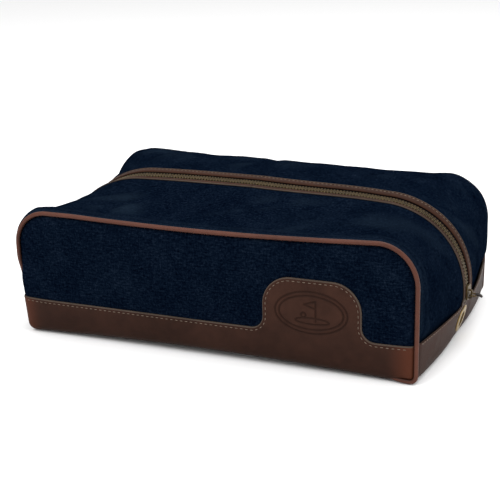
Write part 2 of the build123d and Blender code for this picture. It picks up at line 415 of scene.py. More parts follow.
def inside(points, loop):
    """Whether each point is inside a closed loop."""
    x, z = points.T
    x0, z0 = loop[:, 0][:, None], loop[:, 1][:, None]
    x1, z1 = np.roll(loop[:, 0], -1)[:, None], np.roll(loop[:, 1], -1)[:, None]
    crosses = (z0 > z) != (z1 > z)
    at = x0 + (z - z0) / np.where(z1 == z0, 1e-9, z1 - z0) * (x1 - x0)
    return (crosses & (x < at)).sum(0) % 2 == 1


EDGE_RINGS = (0.35, 0.8, 1.6, 2.4, 3.0, 3.6, 4.4)  # distances from a sheet's edge


def triangulate(loop, spacing, fine=None):
    """Points and triangles that fill a loop: close rings near its edge, an even net inside.

    fine is (low corner, high corner, spacing) of a box that gets a denser net.
    """
    normal = inwards(loop)
    points = [loop]
    for ring in EDGE_RINGS:
        moved = loop + normal * ring
        keep = inside(moved, loop) & (distance_to(moved, loop, True) > ring * 0.93)
        points.append(moved[keep])
    clear = EDGE_RINGS[-1] + spacing * 0.6

    def net(low, high, step):
        x, z = np.meshgrid(np.arange(low[0], high[0], step), np.arange(low[1], high[1], step))
        x[1::2] += step / 2
        grid = np.stack([x.ravel(), z.ravel()], 1)
        return grid[inside(grid, loop) & (distance_to(grid, loop, True) > clear)]

    broad = net(loop.min(0), loop.max(0), spacing)
    if fine:
        low, high, step = fine
        outside = ((broad < low) | (broad > high)).any(1)
        points.append(net(low, high, step))
        broad = broad[outside]
    points.append(broad)
    points = np.concatenate(points)
    count = len(loop)
    edges = [(i, (i + 1) % count) for i in range(count)]
    found = delaunay_2d_cdt([Vector(p) for p in points], edges, [], 0, 1e-5, False)
    points = np.array([tuple(p) for p in found[0]])
    faces = np.array([f for f in found[2] if len(f) == 3])
    return points, faces[inside(points[faces].mean(1), loop)]


def solid_sheet(name, points, faces, front, back, cloth=True):
    """A closed sheet from a flat net: its two faces as placed in space, and a rim between."""
    count = len(points)
    pairs = {}
    for face in faces:
        for edge in zip(face, [*face[1:], face[0]]):
            key = (min(edge), max(edge))
            pairs[key] = None if key in pairs else edge
    rim = [edge for edge in pairs.values() if edge is not None]
    all_faces = [tuple(int(v) for v in face) for face in faces]
    all_faces += [tuple(int(v) + count for v in face[::-1]) for face in faces]
    all_faces += [(int(b), int(a), int(a) + count, int(b) + count) for a, b in rim]
    flat = np.concatenate([points, points]) if cloth else None
    obj = new_object(name, np.concatenate([front, back]), all_faces, flat)
    face_outwards(obj)
    return obj


# ---- materials


class Nodes:
    """Short calls for building a node tree."""

    def __init__(self, name):
        self.material = bpy.data.materials.new(name)
        self.material.use_nodes = True
        self.tree = self.material.node_tree
        self.shader = self.tree.nodes["Principled BSDF"]

    def link(self, source, target):
        self.tree.links.new(source, target)

    def make(self, kind, **values):
        node = self.tree.nodes.new("ShaderNode" + kind)
        for key, value in values.items():
            if hasattr(node, key):
                setattr(node, key, value)
            else:
                node.inputs[key.replace("_", " ")].default_value = value
        return node

    def step(self, kind, output, links, **values):
        """One output of a new node, whose named inputs are linked."""
        node = self.make(kind, **values)
        for name, source in links.items():
            self.link(source, node.inputs[name])
        return node.outputs[output]

    def cloth(self, scale=(1, 1, 1)):
        """Coordinates on the flat cloth, in metres times scale."""
        uv = self.step("UVMap", "UV", {}, uv_map="cloth")
        return self.step("Mapping", "Vector", {"Vector": uv}, Scale=scale)

    def place(self, scale=(1, 1, 1)):
        """Coordinates in the object's own space, in metres times scale."""
        where = self.step("TexCoord", "Object", {})
        return self.step("Mapping", "Vector", {"Vector": where}, Scale=scale)

    def noise(self, vector, scale, detail=3, roughness=0.5):
        values = {"Scale": scale, "Detail": detail, "Roughness": roughness}
        return self.step("TexNoise", "Fac", {"Vector": vector}, **values)

    def wave(self, vector, scale, direction, distortion=0.0):
        values = {"Scale": scale, "Distortion": distortion, "bands_direction": direction}
        return self.step("TexWave", "Fac", {"Vector": vector}, **values)

    def feed(self, sockets, values):
        """Gives each socket a number, a colour or a link."""
        for socket, value in zip(sockets, values):
            if isinstance(value, (int, float)):
                socket.default_value = value
            elif isinstance(value, tuple):
                socket.default_value = (*value, 1)
            else:
                self.link(value, socket)

    def math(self, operation, a, b):
        node = self.make("Math", operation=operation)
        self.feed(node.inputs, (a, b))
        return node.outputs["Value"]

    def share(self, first, second, amount):
        """first and second added in shares 1 - amount and amount."""
        parts = (self.math("MULTIPLY", first, 1 - amount), self.math("MULTIPLY", second, amount))
        return self.math("ADD", *parts)

    def ramp(self, fac, stops):
        node = self.make("ValToRGB")
        elements = node.color_ramp.elements
        while len(elements) < len(stops):
            elements.new(0.5)
        for element, (position, colour) in zip(elements, stops):
            element.position = position
            element.color = (*colour, 1)
        self.link(fac, node.inputs["Fac"])
        return node.outputs["Color"]

    def mix(self, fac, a, b):
        node = self.make("Mix", data_type="RGBA")
        self.feed((node.inputs[0], node.inputs[6], node.inputs[7]), (fac, a, b))
        return node.outputs[2]

    def range(self, fac, low, high, start=0.0, stop=1.0):
        limits = {"From_Min": start, "From_Max": stop, "To_Min": low, "To_Max": high}
        return self.step("MapRange", "Result", {"Value": fac}, **limits)

    def bump(self, height, strength, distance, normal=None):
        links = {"Height": height} if normal is None else {"Height": height, "Normal": normal}
        return self.step("Bump", "Normal", links, Strength=strength, Distance=distance)

    def marked(self, shade, mark, amount, colour):
        """shade, mixed with a colour where keep_values has put this mark on the mesh."""
        node = self.make("Attribute", attribute_name=mark)
        return self.mix(self.math("MULTIPLY", node.outputs["Fac"], amount), shade, colour)

    def height(self):
        """Height above the floor, in metres."""
        return self.step("SeparateXYZ", "Z", {"Vector": self.place()})

    def finish(self, colour, roughness, normal, specular, metallic=0.0):
        names = ("Base Color", "Roughness", "Normal", "Specular IOR Level", "Metallic")
        sockets = [self.shader.inputs[name] for name in names]
        self.feed(sockets, (colour, roughness, normal, specular, metallic))
        return self.material


def tint(colour, amount):
    """A colour made lighter or darker."""
    return tuple(channel * amount for channel in colour)


def denim_material(name):
    """Dark indigo denim: slubby twill, flecked where the white weft shows through."""
    n = Nodes(name)
    vector = n.cloth()
    slub = n.noise(n.cloth((150, 780, 1)), 1.0, 4, 0.65)
    warp = n.noise(n.cloth((780, 200, 1)), 1.0, 4, 0.65)
    cloud = n.noise(vector, 30.0, 4, 0.6)
    grain = n.noise(vector, 520.0, 4, 0.75)
    streak = n.share(slub, warp, 0.38)
    tone = n.share(n.share(streak, grain, 0.45), cloud, 0.15)
    base = n.ramp(tone, [
        (0.40, (0.0002, 0.0008, 0.0030)),
        (0.48, (0.0011, 0.0029, 0.0078)),
        (0.54, (0.0029, 0.0063, 0.0135)),
        (0.62, (0.0085, 0.0138, 0.0250)),
    ])
    fleck = n.ramp(grain, [(0.64, (0, 0, 0)), (0.78, (0.6, 0.6, 0.6))])
    colour = n.mix(fleck, base, (0.015, 0.025, 0.041))
    # painted highlight: lighter on the crests of the folds and on the ridges beside the piping
    colour = n.marked(colour, "ridge_highlight", 0.42, (0.0105, 0.0190, 0.0310))
    twill = n.wave(vector, 380.0, "DIAGONAL", 0.4)
    weave = n.share(twill, streak, 0.55)
    normal = n.bump(weave, 0.55, 0.0005)
    normal = n.bump(cloud, 0.25, 0.0015, normal)
    return n.finish(colour, 0.95, normal, 0.0)


def leather_material(name, colour, spread, roughness, specular, grain, foot):
    """Waxed leather: fine grain, cloudy colour; foot is how much painted shade darkens it at the
    floor.
    """
    n = Nodes(name)
    vector = n.place()
    cloud = n.noise(vector, 14.0, 5, 0.55)
    mottle = n.noise(vector, 110.0, 4, 0.6)
    tone = n.share(cloud, mottle, 0.4)
    tones = [(0.28, tint(colour, 1 - spread)), (0.50, colour), (0.74, tint(colour, 1 + spread))]
    shade = n.ramp(tone, tones)
    if foot:
        # painted shade: darker towards the floor
        fade = n.range(n.height(), foot, 0.0, 0.0, 0.055)
        shade = n.mix(fade, shade, tint(colour, 0.35))
        # painted highlight: a reddish tint on the lower corners of the trims
        shade = n.marked(shade, "corner_highlight", 0.7, (0.075, 0.022, 0.011))
        # darker in the pressed emblem: partly the pressed leather's own darker colour, partly
        # painted shade in the recess
        shade = n.marked(shade, "stamp_and_shade", 0.6, tint(colour, 0.45))
    if name == "piping_leather":
        # painted shade: the piping darker where it turns away into the seam groove
        shade = n.marked(shade, "groove_shade", 0.75, tint(colour, 0.22))
    cells = {"Scale": 1100.0, "feature": "DISTANCE_TO_EDGE"}
    distance = n.step("TexVoronoi", "Distance", {"Vector": vector}, **cells)
    edges = n.ramp(distance, [(0.0, (0, 0, 0)), (0.12, (1, 1, 1))])
    pores = n.noise(vector, 2200.0, 2, 0.5)
    creases = n.noise(vector, 75.0, 5, 0.65)
    normal = n.bump(n.share(edges, pores, 0.5), 0.12 * grain, 0.0004)
    normal = n.bump(creases, 0.18 * grain, 0.0010, normal)
    rough = n.range(mottle, roughness - 0.08, roughness + 0.16)
    return n.finish(shade, rough, normal, specular)


def woven_material(name, dark, light, scale):
    """Tape and lining: close ribs both ways."""
    n = Nodes(name)
    vector = n.place()
    weave = n.share(n.wave(vector, scale, "DIAGONAL"), n.wave(vector, scale * 1.3, "Y"), 0.5)
    dust = n.noise(vector, 300.0, 3, 0.6)
    colour = n.ramp(n.share(weave, dust, 0.5), [(0.25, dark), (0.75, light)])
    return n.finish(colour, 0.85, n.bump(weave, 0.5, 0.0004), 0.15)


def metal_material(name, dark, bright, roughness):
    """Worn plated metal, darker in patches."""
    n = Nodes(name)
    patches = n.noise(n.place(), 260.0, 4, 0.6)
    scratches = n.noise(n.place((200, 3000, 3000)), 1.0, 3, 0.6)
    colour = n.ramp(n.share(patches, scratches, 0.3), [(0.30, dark), (0.70, bright)])
    rough = n.range(patches, roughness - 0.08, roughness + 0.18)
    return n.finish(colour, rough, n.bump(scratches, 0.12, 0.0002), 0.5, 0.9)


def fibre_material(name, dark, light, scale, roughness):
    """Board, cord and thread: one colour, slightly uneven."""
    n = Nodes(name)
    fibre = n.noise(n.place((1, 1, 2)), scale, 4, 0.6)
    colour = n.ramp(fibre, [(0.3, dark), (0.7, light)])
    return n.finish(colour, roughness, n.bump(fibre, 0.3, 0.0003), 0.15)


def recipes(make, rows):
    """Materials by name, each row its name and what make needs for it."""
    return {row[0]: make(*row) for row in rows}


MATERIALS = {
    "denim": denim_material("denim"),
    # name, colour, spread of the tone, roughness, specular, depth of the grain, painted shade at
    # the foot
    **recipes(leather_material, [
        ("leather", (0.0300, 0.0128, 0.0085), 0.45, 0.5, 0.05, 1.0, 0.5),
        ("leather_edge", (0.060, 0.044, 0.034), 0.3, 0.7, 0.05, 0.4, 0.0),
        ("piping_leather", (0.074, 0.0260, 0.0165), 0.3, 0.36, 0.12, 0.5, 0.0),
        ("zip_leather", (0.031, 0.0125, 0.0072), 0.5, 0.5, 0.04, 0.6, 0.0),
        ("pull_leather", (0.012, 0.008, 0.007), 0.4, 0.5, 0.2, 1.0, 0.0),
    ]),
    "zip_tape": woven_material("zip_tape", (0.008, 0.005, 0.004), (0.026, 0.015, 0.011), 900.0),
    # name, dark colour, bright colour, roughness
    **recipes(metal_material, [
        ("zip_metal", (0.036, 0.024, 0.010), (0.125, 0.085, 0.034), 0.46),
        ("brass", (0.13, 0.085, 0.032), (0.36, 0.26, 0.11), 0.34),
    ]),
    # name, dark colour, light colour, fineness, roughness
    **recipes(fibre_material, [
        ("cord", (0.42, 0.39, 0.33), (0.62, 0.58, 0.50), 700.0, 0.9),
        ("board", (0.02, 0.02, 0.02), (0.04, 0.04, 0.04), 500.0, 0.8),
        ("lining", (0.022, 0.020, 0.018), (0.045, 0.040, 0.035), 900.0, 0.9),
        ("thread", (0.11, 0.085, 0.065), (0.22, 0.17, 0.13), 1500.0, 0.75),
    ]),
}


def keep_values(obj, name, values):
    """Stores one number for each vertex, for the material to read."""
    attribute = obj.data.attributes.new(name, "FLOAT", "POINT")
    attribute.data.foreach_set("value", values.astype(np.float32))


def paint(obj, material):
    """Gives a piece its material."""
    obj.data.materials.clear()
    obj.data.materials.append(MATERIALS[material])
    return obj


# ---- ribbons

sides = {"front": -1, "back": 1}
ends = {"left": -1, "right": 1}
SWELL_REACH = 16.0  # the cloth's swelling ends this far above an end band
STRIP_STITCH = 2.2  # from a strip's outer edge to its stitches
LIP = 1.6  # height of the front gusset's rise at its leather strip
STRIP_SEAM = (3.9, 2.496, 0.30)  # stitches: pitch, length, radius
TRIM_SEAM = (4.6, 2.9, 0.27)
END_SEAM = (4.6, 3.0, 0.32)


def fold(obj):
    """A piece of the mouth, with its transform baked into its mesh."""
    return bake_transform(obj)


def rows_of(end, last):
    """Row numbers of one half of the gusset, from the middle of the top down to row last."""
    return MIDDLE + ends[end] * np.arange(last + 1)


def ribbon(name, end, last, section, soft=False, press=None):
    """A long strip along one half of the gusset, down to row last.

    section is a closed loop of (depth, height above the skin).  A soft ribbon takes the cloth's
    unevenness and is tucked in at its ends, and press scales the heights by where they are.
    """
    rows = rows_of(end, last)
    depths, heights = np.array(section).T
    grid, normal = skin(depths, rows)
    heights = np.tile(heights, (len(rows), 1))
    if press is not None:
        heights = heights * press(grid[..., 2])
    if soft:
        heights = heights + tuck(rows, depths, grid[..., 2])
        fade = np.tile(seam_fade(depths), (len(rows), 1))
        folds = unevenness(grid.reshape(-1, 3)).reshape(heights.shape)
        heights = heights + folds * fade * (1 - near_band(grid[..., 2], SWELL_REACH))
    steps = np.linalg.norm(np.diff(grid, axis=0), axis=2)
    u = ends[end] * np.concatenate([np.zeros((1, len(section))), np.cumsum(steps, axis=0)])
    v = np.tile(depths, (len(rows), 1))
    obj = loop_tube(name, grid + normal * heights[..., None], np.stack([u, v], 2))
    if soft:
        # A painted highlight for the denim: lighter on the crests of the folds and on the ridges
        # 4.5 and 13 mm in from the piping seam.
        seam = DEPTH - np.abs(depths)
        rim = humps(seam, 4.5, 1.6) + 0.6 * humps(seam, 13.0, 2.5)
        ridge_highlight = np.clip(0.7 * folds * fade, 0, 1)
        keep_values(obj, "ridge_highlight", np.clip(ridge_highlight + 0.8 * rim, 0, 1).ravel())
    return obj


def near_band(z, reach):
    """1 at the top of a leather end band, 0 reach millimetres above it."""
    return smoothstep(1 - (z - BAND) / reach)


def tuck(rows, depths, z):
    """Where the denim dips under the top of the end band, and the ridge beside the piping."""
    along = np.abs(lengths[rows])
    from_seam = DEPTH - np.abs(depths)
    dip = -1.9 * near_band(z, 9.0) * smoothstep((from_seam - 2) / 5)
    corner = smoothstep((along - 70) / 60)
    shoulder = smoothstep((along - 125) / 35) * smoothstep((245 - along) / 40) * (rows < MIDDLE)
    full = (1 - np.exp(-from_seam / 2.6)) * humps(from_seam, 0, 38)
    strength = smoothstep((along - 95) / 50) * smoothstep((290 - along) / 60)
    ridge = humps(from_seam, 13.0, 4.5) - 0.8 * humps(from_seam, 25.0, 8.0)
    swell = (1.9 + 1.2 * corner + 2.4 * shoulder)[:, None] * full + 1.2 * strength[:, None] * ridge
    shy = ((rows < MIDDLE)[:, None] & (depths < 0)) * smoothstep((80 - z) / 25)
    return dip + swell * (1 - near_band(z, SWELL_REACH)) * (1 - shy * humps(from_seam, 0, 8))


def lip(sign, away):
    """How much the front gusset rises towards its leather strip, so the zip lies in a valley."""
    if sign > 0:
        return 0.0
    if away < STRIP_AWAY:
        return LIP * max(0.0, (away - STRIP_NEAR) / (STRIP_AWAY - STRIP_NEAR))
    return LIP * humps(away, STRIP_AWAY, 14)


def hem_section(sign):
    """Denim from the piping seam to its folded edge under the leather strip, and back inside."""
    outer = [DEPTH - gap for gap in (1.1, 1.7, 2.3, 3.1, 4.2, 6, 8.5)]
    outer += list(np.linspace(DEPTH - 11.5, STRIP_AWAY + 1.5, 26))
    outer += [STRIP_AWAY, STRIP_AWAY - 3, STRIP_NEAR + 2.5]
    turned = {y: 7.5 * math.exp(-(DEPTH - y) / 1.7) for y in outer}
    loop = [(y, lip(sign, y) - min(3.0, turned[y])) for y in outer]
    loop += [(STRIP_NEAR + 1.6, -0.4), (STRIP_NEAR + 1.6, -1.6)]
    loop += [(y, lip(sign, y) - DENIM - turned[y]) for y in outer[:1:-1]]
    loop += [(DEPTH - 3.9, -6.2), (DEPTH - 3.2, -6.6)]
    return [(sign * y, h) for y, h in loop]


def lining_section(sign):
    """The lining, just under the denim."""
    across = list(np.linspace(DEPTH - 3.2, STRIP_AWAY + 2.5, 16))
    loop = [(y, -2.0) for y in across] + [(y, -2.4) for y in across[::-1]]
    return [(sign * y, lip(sign, y) + h) for y, h in loop]


def tape_section(sign):
    """The zip's tape, from under the denim to the teeth."""
    near, away = CHAIN_HALF - 1.2, STRIP_AWAY + 2.0
    outer = [(away, -1.6), (STRIP_NEAR + 2, -1.5), (near + 1.5, -0.75), (near, -0.75)]
    inner = [(near, -1.35), (near + 1.5, -1.35), (STRIP_NEAR + 2, -2.0), (away, -2.0)]
    return [(sign * y, h) for y, h in outer + inner]


def strip_section(sign):
    """Leather strip: rolled outer margin, a groove along the stitches, a soft inner edge."""
    edge, near = strip_edge(sign), STRIP_NEAR
    outer = [
        (edge, 0.25), (edge + 0.1, 0.8), (edge - 0.15, 1.25), (edge - 0.7, 1.42), (edge - 1.4, 1.3),
        (edge - 1.8, 0.85), (edge - STRIP_STITCH, 0.70), (edge - 2.8, 0.9), (edge - 3.5, 1.3),
        (edge - 4.4, 1.45), (near + 2.2, 1.42), (near + 1.2, 1.3), (near + 0.4, 1.05), (near, 0.65),
        (near + 0.1, 0.25),
    ]
    inner = [(near + 0.5, 0.1), (edge - 4, 0.1), (edge - 0.6, 0.1)]
    return [(sign * y, h + lip(sign, y)) for y, h in outer + inner]


def strip_edge(sign):
    """Depth of a leather strip's outer edge; the front strip shows a little less of itself."""
    return STRIP_AWAY - (2.4 if sign < 0 else 0.8)


def pressed(z):
    """The strips flatten where they go under the end bands."""
    return 1 - 0.75 * near_band(z, 8.0)


def capsule(length, radius):
    """One stitch: a short rounded bar along the first axis, slightly bowed."""
    rings = [(-0.5, 0.15), (-0.42, 0.75), (-0.25, 1.0), (0.25, 1.0), (0.42, 0.75), (0.5, 0.15)]
    around = 6
    turn = np.linspace(0, 2 * math.pi, around, endpoint=False)
    vertices = []
    for along, wide in rings:
        bow = 1.2 * radius * (2 * along) ** 2
        ring = radius * wide
        vertices += [(along * length, ring * math.cos(t), ring * math.sin(t) - bow) for t in turn]
    faces = net_faces(len(rings), around, True)
    last = around * (len(rings) - 1)
    faces += [tuple(range(around - 1, -1, -1)), tuple(range(last, last + around))]
    return np.array(vertices), faces


def along_curve(points, normals, places, reach):
    """Positions, tangents and normals at distances along a line; reach smooths the tangents."""
    total = running_length(points)
    ahead, behind = (sample(points, total, places + step) for step in (reach, -reach))
    tangent = unit(ahead - behind)
    normal = sample(normals, total, places)
    normal = unit(normal - tangent * (normal * tangent).sum(1, keepdims=True))
    return sample(points, total, places), tangent, normal


def sew(name, line, normals, pitch, length, radius):
    """Stitches of one length and radius, a pitch apart along a line of points."""
    places = np.arange(pitch / 2, running_length(line)[-1] - pitch / 3, pitch)
    at, tangent, normal = along_curve(line, normals, places, 0.8)
    shape = capsule(length, radius)
    obj = copies(name, shape, at, tangent, np.cross(normal, tangent), normal)
    return paint(obj, "thread")


def hang(obj, material, side, end, nodes):
    """Paints a piece of the mouth that stands for two CAD nodes, hides those nodes, and bakes its
    transform.
    """
    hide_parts(f"{nodes}_{side}_{end}", f"{nodes}_{side}_top")
    fold(paint(obj, material))


def edge_faces(obj, is_edge):
    """Gives the cut edge of a piece of leather its own material."""
    obj.data.materials.append(MATERIALS["leather_edge"])
    for polygon in obj.data.polygons:
        if is_edge(polygon):
            polygon.material_index = 1


for side, sign in sides.items():
    for end in ends:
        name = f"{side}_{end}"
        denim = ribbon(f"gusset_denim_{name}", end, BAND_ROW + 3, hem_section(sign), True)
        hang(denim, "denim", side, end, "gusset")
        lining = ribbon(f"gusset_lining_{name}", end, BAND_ROW, lining_section(sign), True)
        hang(lining, "lining", side, end, "lining")
        tape = ribbon(f"tape_{name}", end, BAND_ROW, tape_section(sign))
        hang(tape, "zip_tape", side, end, "zip_tape")
        section = strip_section(sign)
        strip = ribbon(f"zip_leather_strip_{name}", end, BAND_ROW, section, press=pressed)
        hang(strip, "zip_leather", side, end, "zip_strip")
        edge_faces(strip, lambda face: face.index % len(section) < 4 and face.loop_total == 4)
        at = strip_edge(sign) - STRIP_STITCH
        grid, normal = skin([sign * at], rows_of(end, BAND_ROW))
        above = (0.85 + lip(sign, at)) * pressed(grid[:, 0, 2])
        line = grid[:, 0] + normal[:, 0] * above[:, None]
        fold(sew(f"strip_stitches_{name}", line, normal[:, 0], *STRIP_SEAM))

# ---- teeth


def tooth_shape():
    """One tooth: first axis along the zip, second from the centre to the tape, third outwards."""
    bm = bmesh.new()
    body = ((-0.62, 2.3, -1.15), (0.62, 4.6, 1.10), 0.26)
    head = ((-0.44, -2.3, -0.95), (0.44, 2.6, 0.95), 0.2)
    for low, high, bevel in (body, head):
        size = [b - a for a, b in zip(low, high)]
        centre = [(a + b) / 2 for a, b in zip(low, high)]
        frame_of_cube = Matrix.Translation(centre) @ Matrix.Diagonal((*size, 1))
        made = bmesh.ops.create_cube(bm, size=1, matrix=frame_of_cube)
        edges = list({edge for vertex in made["verts"] for edge in vertex.link_edges})
        bmesh.ops.bevel(bm, geom=edges, offset=bevel, segments=2, affect="EDGES", profile=0.6)
    bm.verts.ensure_lookup_table()
    vertices = np.array([tuple(v.co) for v in bm.verts])
    faces = [[v.index for v in f.verts] for f in bm.faces]
    bm.free()
    return vertices, faces


tooth = tooth_shape()
for end in ends:
    grid, normals = skin([0.0], rows_of(end, BAND_ROW))
    points, normals = grid[:, 0], normals[:, 0]
    reach = np.linalg.norm(np.diff(points, axis=0), axis=1).sum()
    for side, sign in sides.items():
        shift = 0.25 * PITCH if (side == "front") == (end == "right") else 0.75 * PITCH
        distances = np.arange(shift, reach - 3.0, PITCH)
        place, tangent, normal = along_curve(points, normals, distances, 0.6)
        cross = np.cross(normal, tangent)
        cross *= np.sign(cross[:, 1:2]) * sign
        place = place - normal * TOOTH_DEPTH
        teeth = copies(f"teeth_{side}_{end}", tooth, place, tangent, cross, normal)
        hang(teeth, "zip_metal", side, end, "zip_teeth")

# ---- pipings and upright panels

PANEL_FACE = 0.5  # a panel's denim stands this far in front of the piping's centre
PUFF = 3.2  # how far a full panel bulges
STITCH_IN = 2.7  # from a trim's edge to its stitches
CORNER = 24  # length of the lower corners, where the leather gets a painted reddish highlight
ROUND = 1.95  # radius of a piping as it shows
TAB_LEFT, TAB_RIGHT = 53.5, 138.5
OUTSIDE = 400.0  # an x beyond the bag
EMBLEM_CENTRE = np.array([(TAB_LEFT + TAB_RIGHT) / 2, 52.0])
EMBLEM_REACH = np.array([33.5, 19.5])
EMBLEM_DEPTH, EMBLEM_NET = 0.8, 0.55  # how deep it is pressed, and the net it is pressed in
STROKE, STROKE_EDGE = 1.15, 0.75  # half the width of its lines, and how much of that is slope


def panel_line(side):
    """Closed centre line of a panel's piping as points in space, and how exposed it is.

    Exposed is 1 where the piping shows beside the panel and 0 where the panel rolls over it:
    underneath, and on the lower part of the front's left edge.
    """
    row = skin_row(sides[side] * DEPTH)
    gap = row[0, 0] - row[-1, 0]
    steps = np.linspace(0, 1, int(abs(gap) / 3.0))[1:-1, None]
    under = row[-1] + (row[0] - row[-1]) * steps
    line = np.concatenate([row, under])
    low = line[len(row):]
    low[:, 2] = SEAM_FLOOR + lift_at(low[:, 0], math.exp(-SEAM_FLOOR / LIFT_FADE))
    line = resample(line, 2.0, True)
    x, _, z = line.T
    exposed = np.where(z < 20, smoothstep((np.abs(x) - (HALF - CORNER)) / 14), 1.0)
    if side == "front":
        exposed = np.where(x < -120, np.minimum(exposed, smoothstep((z - 44) / 30)), exposed)
    return line, exposed


def oval(centre, across, high, count):
    """A closed ellipse as a line: its centre and its two radii, across and upwards."""
    turn = np.linspace(0, 2 * math.pi, count)
    return np.stack([centre[0] + across * np.cos(turn), centre[1] + high * np.sin(turn)], 1)


def emblem_strokes():
    """A flagstick, the green and a ball in a double oval, as lines about the centre."""
    return [
        oval((0, 0), 31.0, 17.8, 121),
        oval((0, 0), 27.6, 14.4, 105),
        oval((1, -7.0), 14.5, 2.6, 49),
        oval((-6.5, -2.2), 2.0, 2.0, 17),
        np.array([(4.0, -7.0), (4.0, 10.0), (-6.0, 6.8), (4.0, 3.6)]),
    ]


def pressed_emblem(points):
    """How deeply the emblem is pressed into the leather at each (x, z)."""
    local = points - EMBLEM_CENTRE
    depth = np.zeros(len(points))
    near = (np.abs(local) < EMBLEM_REACH).all(1)
    for stroke in emblem_strokes():
        away = distance_to(local[near], stroke, False)
        depth[near] = np.maximum(depth[near], smoothstep((STROKE - away) / STROKE_EDGE))
    return depth


def tab_top(side):
    """The upper edge of a leather trim, from left to right, as a line in X and Z."""
    start, stop = [(-OUTSIDE, BAND)], [(OUTSIDE, BAND)]
    if side == "back":
        return np.array(start + stop)
    big, small = 25.0, 11.0  # radii of its shoulders and feet
    return np.concatenate([
        start,
        arc((TAB_LEFT - small, BAND + small), small, -90, 0, 10),
        arc((TAB_LEFT + big, TAB_TOP - big), big, 180, 90, 22),
        arc((TAB_RIGHT - big, TAB_TOP - big), big, 90, 0, 22),
        arc((TAB_RIGHT + small, BAND + small), small, 180, 270, 10),
        stop,
    ])


def nearest_of(points, line):
    """For each point, the number of the line's point nearest to it."""
    return np.array([np.argmin(((line - p) ** 2).sum(1)) for p in points])


def stand(obj, material, *nodes):
    """Paints a still piece, which stands for CAD nodes."""
    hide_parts(*nodes)
    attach(paint(obj, material), "root")


